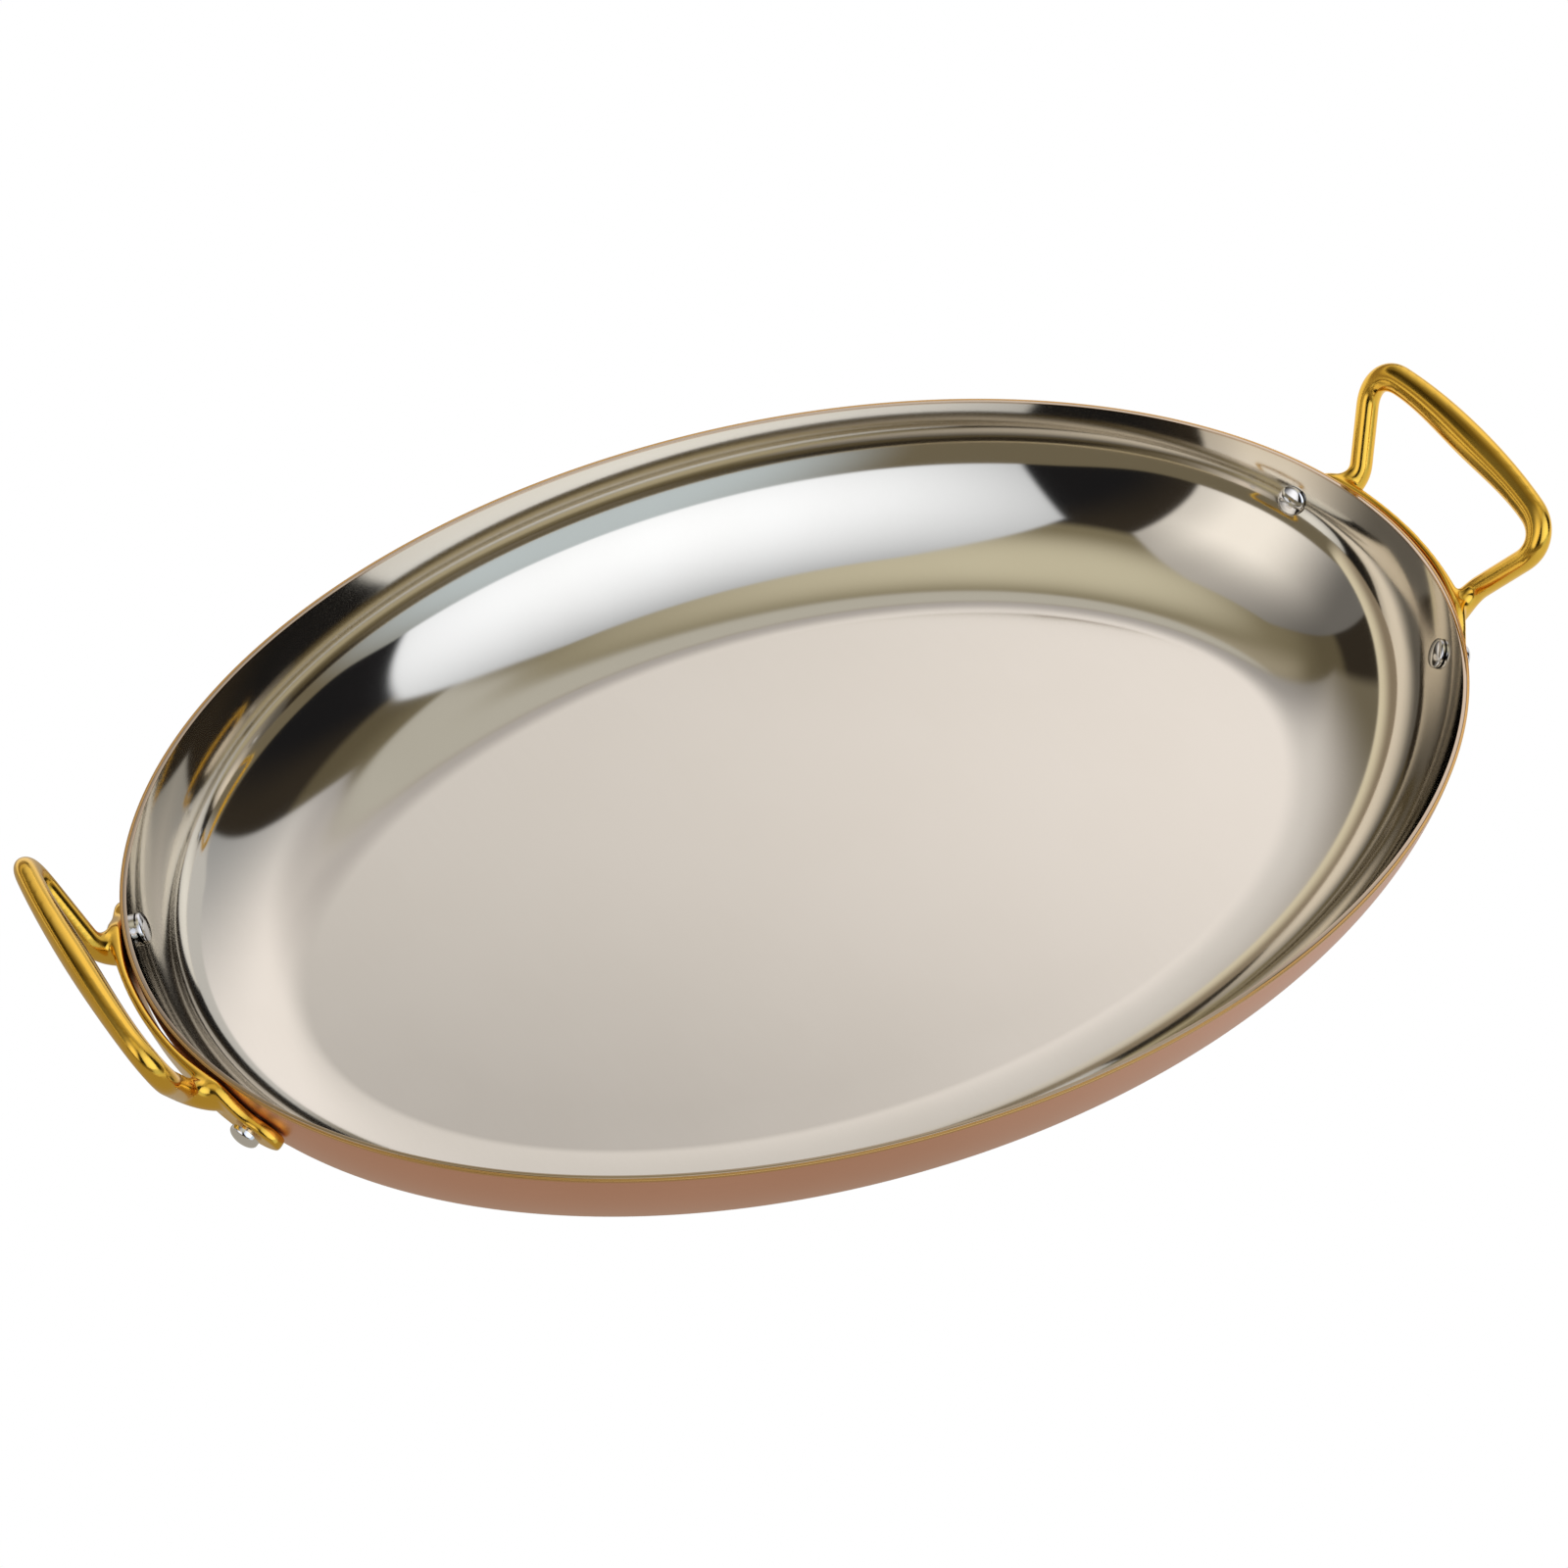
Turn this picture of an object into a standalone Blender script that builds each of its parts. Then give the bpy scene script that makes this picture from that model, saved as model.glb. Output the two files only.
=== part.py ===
"""Oval two-handled frying pan: a steel liner inside a copper shell, with two
riveted brass loop handles. Metres, +Z up, long axis along X, standing on Z = 0."""

import math

import bmesh
import bpy
import numpy as np
from mathutils import Matrix, Vector

# Pan body, measured on the inside face of the liner. The wall rises from the floor through
# a tight arc and then a wide one, so it grows steeper all the way to the rim.
RIM_HALF_LENGTH = 0.1787
RIM_HALF_WIDTH = 0.1244
RIM_TILT = math.radians(8.0)
KNEE_TILT = math.radians(29.5)
UPPER_RADIUS = 0.0515
LOWER_RADIUS = 0.0415

# Walls
STEEL_WALL = 0.0008
LAYER_GAP = 0.0003
COPPER_WALL = 0.0006

# Rivets
RIVET_OFFSET = 0.0365
RIVET_SLANT = 0.0111
SHANK_RADIUS = 0.0022
INNER_HEAD_RADIUS = 0.0040
INNER_HEAD_HEIGHT = 0.0015
OUTER_HEAD_RADIUS = 0.0038
OUTER_HEAD_HEIGHT = 0.0026

# Handle strap, which hugs the wall at both rivets and stands a little off it between them,
# more along its top edge than along its bottom edge
STRAP_THICKNESS = 0.0022
STRAP_TOP_SLANT = 0.0002
STRAP_BOTTOM_SLANT = 0.0128
STRAP_TOP_STANDOFF = 0.0010
STRAP_BOTTOM_STANDOFF = 0.0002
STRAP_BEVEL = 0.0007
PAD_TOP_DROP = 0.0055
PAD_BOTTOM_DROP = 0.0032
PAD_REACH = 0.0093
PAD_THICKNESS = 0.0034

# Handle loop: each leg leaves the strap on a flared foot, turns up at a knee and splays
# toward a grip that thickens and bows out in its middle
FOOT_OFFSET = 0.0272
FOOT_SLANT = 0.0056
FOOT_INNER_WIDTH = 0.0055
FOOT_OUTER_WIDTH = 0.0046
FOOT_HALF_HEIGHT = 0.0050
KNEE_REACH = 0.0066
KNEE_HALF_SPAN = 0.0276
KNEE_RISE = 0.0004
LEG_RADIUS = 0.0031
GRIP_HALF_SPAN = 0.0410
GRIP_REACH = 0.0165
GRIP_RISE = 0.0223
GRIP_BOW_OUT = 0.0023
GRIP_BOW_UP = 0.0024
GRIP_HALF_DEPTH = 0.0049
GRIP_HALF_THICKNESS = 0.0034
GRIP_END_HALF_DEPTH = 0.0041
GRIP_END_HALF_THICKNESS = 0.0030
CORNER_RADIUS = 0.0115

# Clearances and facet counts
SEAT_CLEARANCE = 0.0003
HEAD_CLEARANCE = 0.0004
RIM_SEGMENTS = 88
UPPER_STEPS = 3
LOWER_STEPS = 6
LOOP_SIDES = 14
RIVET_STEPS = 18
DOME_STEPS = 4

WALL = STEEL_WALL + LAYER_GAP + COPPER_WALL
UPPER_DEPTH = UPPER_RADIUS * (math.sin(KNEE_TILT) - math.sin(RIM_TILT))
UPPER_INSET = UPPER_RADIUS * (math.cos(RIM_TILT) - math.cos(KNEE_TILT))
WELL_DEPTH = UPPER_DEPTH + LOWER_RADIUS * (1.0 - math.sin(KNEE_TILT))
RIM_HEIGHT = WELL_DEPTH + WALL


def clear_scene():
    for obj in list(bpy.data.objects):
        bpy.data.objects.remove(obj)
    for collection in list(bpy.data.collections):
        bpy.data.collections.remove(collection)


def make_collection(name):
    collection = bpy.data.collections.new(name)
    bpy.context.scene.collection.children.link(collection)
    return collection


def make_material(name, colour, metallic, roughness):
    material = bpy.data.materials.new(name)
    material.use_nodes = True
    shader = material.node_tree.nodes["Principled BSDF"]
    shader.inputs["Base Color"].default_value = (*colour, 1.0)
    shader.inputs["Metallic"].default_value = metallic
    shader.inputs["Roughness"].default_value = roughness
    return material


def mesh_object(name, mesh, collection, material):
    obj = bpy.data.objects.new(name, mesh)
    collection.objects.link(obj)
    mesh.materials.append(material)
    mesh.shade_smooth()
    mesh.set_sharp_from_angle(angle=math.radians(35.0))
    return obj


def loft(name, rings, closed_start=True, closed_end=True):
    """A skin through rings of equally many points, with flat ends where asked."""
    bm = bmesh.new()
    rows = [[bm.verts.new(point) for point in ring] for ring in rings]
    for low, high in zip(rows, rows[1:]):
        for i, vertex in enumerate(low):
            after = (i + 1) % len(low)
            bm.faces.new((vertex, low[after], high[after], high[i]))
    if closed_start:
        bm.faces.new(rows[0])
    if closed_end:
        bm.faces.new(rows[-1])
    bmesh.ops.recalc_face_normals(bm, faces=bm.faces[:])
    mesh = bpy.data.meshes.new(name)
    bm.to_mesh(mesh)
    bm.free()
    return mesh


def rim_at_angle(angle):
    """Point, outward direction and tangent of the oval rim at an ellipse angle."""
    point = Vector((RIM_HALF_LENGTH * math.cos(angle), RIM_HALF_WIDTH * math.sin(angle), 0.0))
    tangent = Vector((-RIM_HALF_LENGTH * math.sin(angle), RIM_HALF_WIDTH * math.cos(angle), 0.0))
    tangent.normalize()
    outward = Vector((tangent.y, -tangent.x, 0.0))
    return point, outward, tangent


def rim_at_arc(arc):
    """The same, at a length along the rim from the +X end of the oval."""
    angles = np.linspace(-0.8, 0.8, 801)
    speeds = np.hypot(RIM_HALF_LENGTH * np.sin(angles), RIM_HALF_WIDTH * np.cos(angles))
    lengths = np.cumsum(speeds) * (angles[1] - angles[0])
    lengths -= np.interp(0.0, angles, lengths)
    return rim_at_angle(float(np.interp(arc, lengths, angles)))


def wall_station(tilt):
    """(inset, depth) from the rim of the inside face where the wall has a tilt from the vertical."""
    if tilt <= KNEE_TILT:
        inset = UPPER_RADIUS * (math.cos(RIM_TILT) - math.cos(tilt))
        depth = UPPER_RADIUS * (math.sin(tilt) - math.sin(RIM_TILT))
    else:
        inset = UPPER_INSET + LOWER_RADIUS * (math.cos(KNEE_TILT) - math.cos(tilt))
        depth = UPPER_DEPTH + LOWER_RADIUS * (math.sin(tilt) - math.sin(KNEE_TILT))
    return inset, depth


def wall_frame(arc, slant):
    """Point of the inside face, direction down the wall and its outward normal, at a length
    along the rim and a distance down the wall."""
    tilt = RIM_TILT + slant / UPPER_RADIUS
    inset, depth = wall_station(tilt)
    point, outward, _ = rim_at_arc(arc)
    up = Vector((0.0, 0.0, 1.0))
    down_wall = -outward * math.sin(tilt) - up * math.cos(tilt)
    normal = outward * math.cos(tilt) - up * math.sin(tilt)
    return point - outward * inset + up * (RIM_HEIGHT - depth), down_wall, normal


def wall_point(arc, slant, out):
    """A point at a distance out of the liner's inside face."""
    point, _, normal = wall_frame(arc, slant)
    return point + normal * out


def vessel_ring(tilt, out):
    """The rim's oval drawn in to where the wall has a tilt, and moved out of the inside face."""
    inset, depth = wall_station(tilt)
    ring = []
    for step in range(RIM_SEGMENTS):
        point, outward, _ = rim_at_angle(2.0 * math.pi * step / RIM_SEGMENTS)
        point = point + outward * (out * math.cos(tilt) - inset)
        point.z = RIM_HEIGHT - depth - out * math.sin(tilt)
        ring.append(point)
    return ring


def make_vessel(name, inner_out, thickness, collection, material):
    """One layer of the pan: an open surface through the rings, thickened outward by Solidify."""
    tilts = list(np.linspace(RIM_TILT, KNEE_TILT, UPPER_STEPS + 1))
    tilts += list(np.linspace(KNEE_TILT, math.pi / 2, LOWER_STEPS + 1))[1:]
    rings = [vessel_ring(float(tilt), inner_out) for tilt in tilts]
    mesh = loft(name, rings, closed_start=False)
    obj = mesh_object(name, mesh, collection, material)
    wall = obj.modifiers.new("Wall", "SOLIDIFY")
    wall.thickness = thickness
    wall.offset = 1.0 if faces_point_out(mesh) else -1.0
    wall.use_even_offset = True
    return obj


def faces_point_out(mesh):
    """Whether the floor of an open vessel faces down, away from its inside."""
    floor = min(mesh.polygons, key=lambda face: face.center.z)
    return floor.normal.z < 0.0


def rivet_profile():
    """(radius, height) from the outer head's crown down to the inner head's crown.
    Height 0 is the inside face of the liner, and the outer head is up."""
    outer_seat = WALL + SEAT_CLEARANCE + PAD_THICKNESS + SEAT_CLEARANCE
    inner_seat = -HEAD_CLEARANCE
    outer = dome(OUTER_HEAD_RADIUS, OUTER_HEAD_HEIGHT)
    inner = dome(INNER_HEAD_RADIUS, INNER_HEAD_HEIGHT)
    points = [(radius, outer_seat + height) for radius, height in outer]
    points += [(SHANK_RADIUS, outer_seat), (SHANK_RADIUS, inner_seat)]
    points += [(radius, inner_seat - height) for radius, height in reversed(inner)]
    return points


def dome(radius, height):
    """(radius, height) over a domed head, from its crown to its edge, with a short straight side."""
    side = 0.3 * height
    quarter = np.linspace(math.pi / 2, 0.0, DOME_STEPS + 1)
    points = [(radius * math.cos(a), side + (height - side) * math.sin(a)) for a in quarter]
    points[0] = (0.0, height)
    return points + [(radius, 0.0)]


def rivet_placement(arc):
    """The rivet's own Z along the outward normal of the wall, its origin on the liner's inside face."""
    point, down_wall, normal = wall_frame(arc, RIVET_SLANT)
    turn = Matrix((down_wall, normal.cross(down_wall), normal)).transposed().to_4x4()
    return Matrix.Translation(point) @ turn


def make_rivet(name, placement, collection, material):
    points = rivet_profile()
    mesh = bpy.data.meshes.new(name)
    edges = [(i, i + 1) for i in range(len(points) - 1)]
    mesh.from_pydata([(radius, 0.0, height) for radius, height in points], edges, [])
    obj = mesh_object(name, mesh, collection, material)
    obj.matrix_world = placement
    turned = obj.modifiers.new("Turned", "SCREW")
    turned.steps = RIVET_STEPS
    turned.render_steps = RIVET_STEPS
    turned.use_merge_vertices = True
    turned.merge_threshold = 0.00005
    turned.use_smooth_shade = True
    return obj


def make_hole_cutter(name, placement, collection):
    """A pin through the wall and the pads, wider than the shank by the clearance."""
    mesh = bpy.data.meshes.new(name)
    bm = bmesh.new()
    length = 4.0 * (WALL + PAD_THICKNESS)
    radius = SHANK_RADIUS + SEAT_CLEARANCE
    bmesh.ops.create_cone(
        bm, cap_ends=True, segments=RIVET_STEPS, radius1=radius, radius2=radius, depth=length
    )
    bm.to_mesh(mesh)
    bm.free()
    cutter = bpy.data.objects.new(name, mesh)
    collection.objects.link(cutter)
    cutter.matrix_world = placement
    cutter.hide_render = True
    cutter.display_type = "WIRE"
    return cutter


def add_boolean(obj, other, operation):
    cut = obj.modifiers.new(other.name, "BOOLEAN")
    cut.operation = operation
    cut.object = other
    cut.solver = "EXACT"


def smooth_step(value):
    value = min(max(value, 0.0), 1.0)
    return value * value * (3.0 - 2.0 * value)


def strap_limits(arc):
    """Top and bottom slant of the strap at a length along the rim: level between the feet, then
    drooping past the rivet to a rounded end."""
    distance = abs(arc)
    droop = smooth_step((distance - FOOT_OFFSET) / (RIVET_OFFSET + 0.3 * PAD_REACH - FOOT_OFFSET))
    top = STRAP_TOP_SLANT + PAD_TOP_DROP * droop
    bottom = STRAP_BOTTOM_SLANT + PAD_BOTTOM_DROP * droop
    past = max(distance - RIVET_OFFSET, 0.0) / PAD_REACH
    narrowing = math.sqrt(max(1.0 - past * past, 0.0))
    middle = 0.5 * (top + bottom)
    return middle + (top - middle) * narrowing, middle + (bottom - middle) * narrowing


def strap_standoff(slant):
    """Gap between the strap's middle and the wall at a distance down the wall."""
    share = (slant - STRAP_TOP_SLANT) / (STRAP_BOTTOM_SLANT - STRAP_TOP_SLANT)
    return STRAP_TOP_STANDOFF + (STRAP_BOTTOM_STANDOFF - STRAP_TOP_STANDOFF) * share


def strap_section(arc):
    """Eight points of the bevelled strap section at a length along the rim."""
    top, bottom = strap_limits(arc)
    landing = RIVET_OFFSET - 1.6 * OUTER_HEAD_RADIUS
    leaving = 0.45 * FOOT_OFFSET
    middle_share = 1.0 - smooth_step((abs(arc) - leaving) / (landing - leaving))
    thickness = PAD_THICKNESS + (STRAP_THICKNESS - PAD_THICKNESS) * middle_share
    bevel = min(STRAP_BEVEL, 0.3 * (bottom - top))
    seat = WALL + SEAT_CLEARANCE
    outline = (
        (top + bevel, 0.0),
        (top, bevel),
        (top, thickness - bevel),
        (top + bevel, thickness),
        (bottom - bevel, thickness),
        (bottom, thickness - bevel),
        (bottom, bevel),
        (bottom - bevel, 0.0),
    )
    points = []
    for slant, height in outline:
        lift = middle_share * strap_standoff(slant)
        points.append(wall_point(arc, slant, seat + lift + height))
    return points


def make_strap_mesh(name):
    end = RIVET_OFFSET + PAD_REACH * 0.985
    arcs = list(np.linspace(-RIVET_OFFSET, RIVET_OFFSET, 33))
    tail = [RIVET_OFFSET + PAD_REACH * share for share in (0.3, 0.55, 0.75, 0.88, 0.95)]
    arcs = [-end, *(-arc for arc in reversed(tail)), *arcs, *tail, end]
    return loft(name, [strap_section(float(arc)) for arc in arcs])


def foot_rings(leg, knee, inward, sideways):
    """Rings of a leg's flared foot, from an oval sunk in the strap to the round leg at the knee.
    Each point leaves the strap along the wall's normal and arrives along the leg."""
    sunk = WALL + SEAT_CLEARANCE + 0.5 * STRAP_THICKNESS
    _, _, normal = wall_frame(FOOT_OFFSET, FOOT_SLANT)
    starts, ends = [], []
    for step in range(LOOP_SIDES):
        angle = 2.0 * math.pi * step / LOOP_SIDES
        rise, across = math.cos(angle), math.sin(angle)
        arc = FOOT_OFFSET + (FOOT_OUTER_WIDTH if across > 0.0 else FOOT_INNER_WIDTH) * across
        starts.append(wall_point(arc, FOOT_SLANT - FOOT_HALF_HEIGHT * rise, sunk))
        ends.append(knee + (inward * rise + sideways * across) * LEG_RADIUS)
    rings = []
    for share in np.linspace(0.0, 1.0, 9)[:-1]:
        ring = []
        for start, end in zip(starts, ends):
            length = (end - start).length
            pull_out = start + (end - start) * 0.15 + normal * (0.20 * length)
            pull_in = end - leg * (0.40 * length)
            ring.append(bezier_point(start, pull_out, pull_in, end, float(share)))
        rings.append(ring)
    return rings


def loop_rings():
    """Rings of the handle bar, from one foot up the leg, round the corner and along half of
    the bowed grip, then the same mirrored."""
    along = Vector((0.0, 1.0, 0.0))
    knee = Vector((RIM_HALF_LENGTH + KNEE_REACH, KNEE_HALF_SPAN, RIM_HEIGHT + KNEE_RISE))
    corner = Vector((RIM_HALF_LENGTH + GRIP_REACH, GRIP_HALF_SPAN, RIM_HEIGHT + GRIP_RISE))
    middle = Vector((corner.x + GRIP_BOW_OUT, 0.0, corner.z + GRIP_BOW_UP))
    leg = (corner - knee).normalized()
    grip = Vector((2.0 * GRIP_BOW_OUT, -GRIP_HALF_SPAN, 2.0 * GRIP_BOW_UP)).normalized()
    inward = along.cross(leg).normalized()
    inward = inward if inward.x < 0.0 else -inward
    leg_top = corner - leg * CORNER_RADIUS
    grip_end = corner + grip * CORNER_RADIUS
    round_pull = CORNER_RADIUS * 0.55
    grip_pull = (middle - grip_end).length / 3.0
    leg_pull = (leg_top - knee).length / 3.0
    spans = (
        (knee, knee + leg * leg_pull, leg_top - leg * leg_pull, leg_top, 3),
        (leg_top, leg_top + leg * round_pull, grip_end - grip * round_pull, grip_end, 7),
        (grip_end, grip_end + grip * grip_pull, middle + along * grip_pull, middle, 8),
    )
    sizes = (
        (LEG_RADIUS, LEG_RADIUS),
        (LEG_RADIUS, LEG_RADIUS),
        (GRIP_END_HALF_DEPTH, GRIP_END_HALF_THICKNESS),
        (GRIP_HALF_DEPTH, GRIP_HALF_THICKNESS),
    )
    half = foot_rings(leg, knee, inward, leg.cross(inward).normalized() * -1.0)
    for number, (start, pull_out, pull_in, end, steps) in enumerate(spans):
        for step in range(steps if number < 2 else steps + 1):
            share = step / steps
            point = bezier_point(start, pull_out, pull_in, end, share)
            tangent = bezier_tangent(start, pull_out, pull_in, end, share)
            side = (inward - tangent * inward.dot(tangent)).normalized()
            outer = side.cross(tangent).normalized()
            blend = smooth_step(share)
            first, second = sizes[number], sizes[number + 1]
            half_out = first[0] + (second[0] - first[0]) * blend
            half_side = first[1] + (second[1] - first[1]) * blend
            half.append(oval_ring(point, side * half_side, outer * half_out))
    mirrored = [[Vector((p.x, -p.y, p.z)) for p in ring] for ring in reversed(half[:-1])]
    return half + mirrored


def bezier_point(start, pull_out, pull_in, end, share):
    rest = 1.0 - share
    return (
        start * rest**3
        + pull_out * (3.0 * rest * rest * share)
        + pull_in * (3.0 * rest * share * share)
        + end * share**3
    )


def bezier_tangent(start, pull_out, pull_in, end, share):
    rest = 1.0 - share
    slope = (pull_out - start) * rest * rest + (pull_in - pull_out) * 2.0 * rest * share
    return (slope + (end - pull_in) * share * share).normalized()


def oval_ring(centre, half_a, half_b):
    angles = [2.0 * math.pi * i / LOOP_SIDES for i in range(LOOP_SIDES)]
    return [centre + half_a * math.cos(a) + half_b * math.sin(a) for a in angles]


def make_handle(name, side, placements, collection, cutters, material):
    """Strap and loop forged as one piece, then drilled for its two rivets."""
    handle = mesh_object(name, make_strap_mesh(name), collection, material)
    bar_mesh = loft(name + "_bar", loop_rings())
    bar = bpy.data.objects.new(name + "_bar", bar_mesh)
    cutters.objects.link(bar)
    bar.hide_render = True
    bar.display_type = "WIRE"
    if side < 0:
        for mesh in (handle.data, bar_mesh):
            mesh.transform(Matrix.Diagonal((-1.0, 1.0, 1.0, 1.0)))
            mesh.flip_normals()
    add_boolean(handle, bar, "UNION")
    for number, placement in enumerate(placements):
        hole = make_hole_cutter(f"{name}_hole_{number}", placement, cutters)
        add_boolean(handle, hole, "DIFFERENCE")
    return handle


def main():
    clear_scene()
    parts = make_collection("oval_frying_pan")
    cutters = make_collection("cutters")
    steel = make_material("polished_steel", (0.70, 0.69, 0.67), 1.0, 0.10)
    copper = make_material("satin_copper", (0.62, 0.33, 0.22), 1.0, 0.32)
    brass = make_material("polished_brass", (0.80, 0.56, 0.13), 1.0, 0.14)
    rivet_steel = make_material("rivet_steel", (0.74, 0.74, 0.75), 1.0, 0.12)

    liner = make_vessel("steel_liner", 0.0, STEEL_WALL, parts, steel)
    shell = make_vessel("copper_shell", STEEL_WALL + LAYER_GAP, COPPER_WALL, parts, copper)

    half_turn = Matrix.Rotation(math.pi, 4, "Z")
    for side, side_name in ((1, "right"), (-1, "left")):
        placements = []
        for arc, end_name in ((-RIVET_OFFSET, "front"), (RIVET_OFFSET, "back")):
            # A half turn about Z carries the +X end to the -X end and swaps front and back.
            placement = rivet_placement(arc) if side > 0 else half_turn @ rivet_placement(-arc)
            placements.append(placement)
            make_rivet(f"rivet_{side_name}_{end_name}", placement, parts, rivet_steel)
            for layer in (liner, shell):
                cutter_name = f"{layer.name}_hole_{side_name}_{end_name}"
                hole = make_hole_cutter(cutter_name, placement, cutters)
                add_boolean(layer, hole, "DIFFERENCE")
        make_handle(f"handle_{side_name}", side, placements, parts, cutters, brass)


main()
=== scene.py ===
"""Looks of the oval frying pan: a mirror-polished steel liner in a satin copper shell, with
two polished brass handles and four steel rivets, on a floor that is white to the camera and glows
with painted light in reflections, in a soft-lit studio."""

import math

import bmesh
import bpy
import numpy as np
from mathutils import Matrix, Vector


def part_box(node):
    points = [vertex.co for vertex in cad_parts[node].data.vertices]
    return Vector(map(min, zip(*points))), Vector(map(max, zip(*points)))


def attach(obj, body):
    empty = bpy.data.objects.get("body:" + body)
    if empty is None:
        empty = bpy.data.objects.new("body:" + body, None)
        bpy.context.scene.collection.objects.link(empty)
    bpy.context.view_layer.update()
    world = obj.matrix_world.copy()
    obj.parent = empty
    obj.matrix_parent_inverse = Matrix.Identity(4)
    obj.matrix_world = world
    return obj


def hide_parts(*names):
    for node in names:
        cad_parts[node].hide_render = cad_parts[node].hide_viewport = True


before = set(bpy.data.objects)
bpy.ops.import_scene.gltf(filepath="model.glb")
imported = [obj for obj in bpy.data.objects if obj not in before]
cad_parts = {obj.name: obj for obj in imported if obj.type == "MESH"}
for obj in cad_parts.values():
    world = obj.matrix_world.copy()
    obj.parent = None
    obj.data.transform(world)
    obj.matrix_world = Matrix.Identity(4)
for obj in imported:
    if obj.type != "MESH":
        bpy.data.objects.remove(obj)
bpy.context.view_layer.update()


# Steel liner
# The inner layer is stainless sheet pressed into an oval bowl and polished to a mirror all over.
# Its cut edge shows as a pale, slightly warm line round the rim.
RIM_TILT = math.radians(8.0)
KNEE_TILT = math.radians(29.5)
UPPER_RADIUS = 0.0515
LOWER_RADIUS = 0.0415
PAN_WALL = 0.0017
STEEL_WALL = 0.00095
EDGE_ROUNDING = 0.00012
PAN_SIDES = 384
WALL_RINGS = 96
FIRST_TILT_STEP = 0.004
EDGE_POINTS = 6
FLOOR_RINGS = 8
SMALLEST_RING = 0.04
STEEL_ROUGHNESS = 0.045
STEEL_MIRRORED = (0.72, 0.67, 0.58)
STEEL_DARK = (0.71, 0.66, 0.57, 1)
STEEL_PALE = (0.73, 0.68, 0.59, 1)
STEEL_EDGE = (0.58, 0.46, 0.34, 1)

shell_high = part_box("copper_shell")[1]
RIM_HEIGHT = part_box("steel_liner")[1][2]
RIM_HALF_LENGTH = shell_high[0] - PAN_WALL * math.cos(RIM_TILT)
RIM_HALF_WIDTH = shell_high[1] - PAN_WALL * math.cos(RIM_TILT)


class Field:
    """A value in a material's nodes. + - * on it add Math nodes to the same material."""

    def __init__(self, tree, socket):
        self.tree = tree
        self.socket = socket

    def node(self, kind, sockets, settings=(), output=0):
        """Any other node: its settings first, then the values or links of its sockets."""
        made = self.tree.nodes.new(kind)
        for name, value in dict(settings).items():
            setattr(made, name, value)
        for name, value in dict(sockets).items():
            if isinstance(value, Field):
                self.tree.links.new(value.socket, made.inputs[name])
            else:
                made.inputs[name].default_value = value
        return Field(self.tree, made.outputs[output])

    def math(self, operation, first, second):
        """One Math operation on two values, each a Field or a number."""
        return self.node("ShaderNodeMath", {0: first, 1: second}, {"operation": operation})

    def __add__(self, other):
        return self.math("ADD", self, other)

    def __radd__(self, other):
        return self.math("ADD", other, self)

    def __sub__(self, other):
        return self.math("SUBTRACT", self, other)

    def __rsub__(self, other):
        return self.math("SUBTRACT", other, self)

    def __mul__(self, other):
        return self.math("MULTIPLY", self, other)

    def __rmul__(self, other):
        return self.math("MULTIPLY", other, self)

    def axes(self):
        """The x, y and z of a vector."""
        parts = self.tree.nodes.new("ShaderNodeSeparateXYZ")
        self.tree.links.new(self.socket, parts.inputs[0])
        return [Field(self.tree, part) for part in parts.outputs]

    def step(self, low, high, start=0.0, end=1.0):
        """Smooth change from start to end while the value goes from low to high."""
        sockets = {"Value": self, "From Min": low, "From Max": high, "To Min": start, "To Max": end}
        return self.node("ShaderNodeMapRange", sockets, {"interpolation_type": "SMOOTHSTEP"})

    def blend(self, first, second):
        """Colour that goes from first to second while the value goes from 0 to 1."""
        sockets = {0: self, 6: first, 7: second}
        return self.node("ShaderNodeMix", sockets, {"data_type": "RGBA"}, output=2)

    def stretched(self, stretch, turn=0.0):
        """The same place with each axis stretched, turned about Z first."""
        sockets = {"Vector": self, "Rotation": (0.0, 0.0, turn), "Scale": stretch}
        return self.node("ShaderNodeMapping", sockets, {"vector_type": "POINT"})

    def grain(self, per_metre, detail):
        """Smooth noise from 0 to 1 at a number of grains per metre, with finer levels on top."""
        sockets = {"Vector": self, "Scale": per_metre, "Detail": detail}
        return self.node("ShaderNodeTexNoise", sockets)


def finish(name):
    """A metal, as (material, its shader, the place on the piece in metres)."""
    material = bpy.data.materials.new(name)
    material.use_nodes = True
    tree = material.node_tree
    shader = tree.nodes["Principled BSDF"]
    shader.inputs["Metallic"].default_value = 1.0
    place = tree.nodes.new("ShaderNodeTexCoord")
    return material, shader, Field(tree, place.outputs["Object"])


def set_socket(shader, name, value):
    """Link a Field to a socket of the shader, or set a plain value on the socket itself."""
    if isinstance(value, Field):
        value.tree.links.new(value.socket, shader.inputs[name])
    else:
        shader.inputs[name].default_value = value


def skin(name, rings, material):
    """A closed piece from rings of points: quads between neighbouring rings and round each one,
    and one flat face over the first and the last ring."""
    count, around = rings.shape[:2]
    index = np.arange(count * around).reshape(count, around)
    after = np.roll(index, -1, axis=1)
    quads = np.stack([index[:-1], after[:-1], after[1:], index[1:]], axis=-1).reshape(-1, 4)
    mesh = bpy.data.meshes.new(name)
    faces = [*quads.tolist(), index[0].tolist(), index[-1].tolist()]
    mesh.from_pydata(rings.reshape(-1, 3).tolist(), [], faces)
    shape = bmesh.new()
    shape.from_mesh(mesh)
    bmesh.ops.recalc_face_normals(shape, faces=shape.faces[:])
    shape.to_mesh(mesh)
    shape.free()
    mesh.shade_smooth()
    piece = bpy.data.objects.new(name, mesh)
    bpy.context.scene.collection.objects.link(piece)
    mesh.materials.append(material)
    return piece


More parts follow.
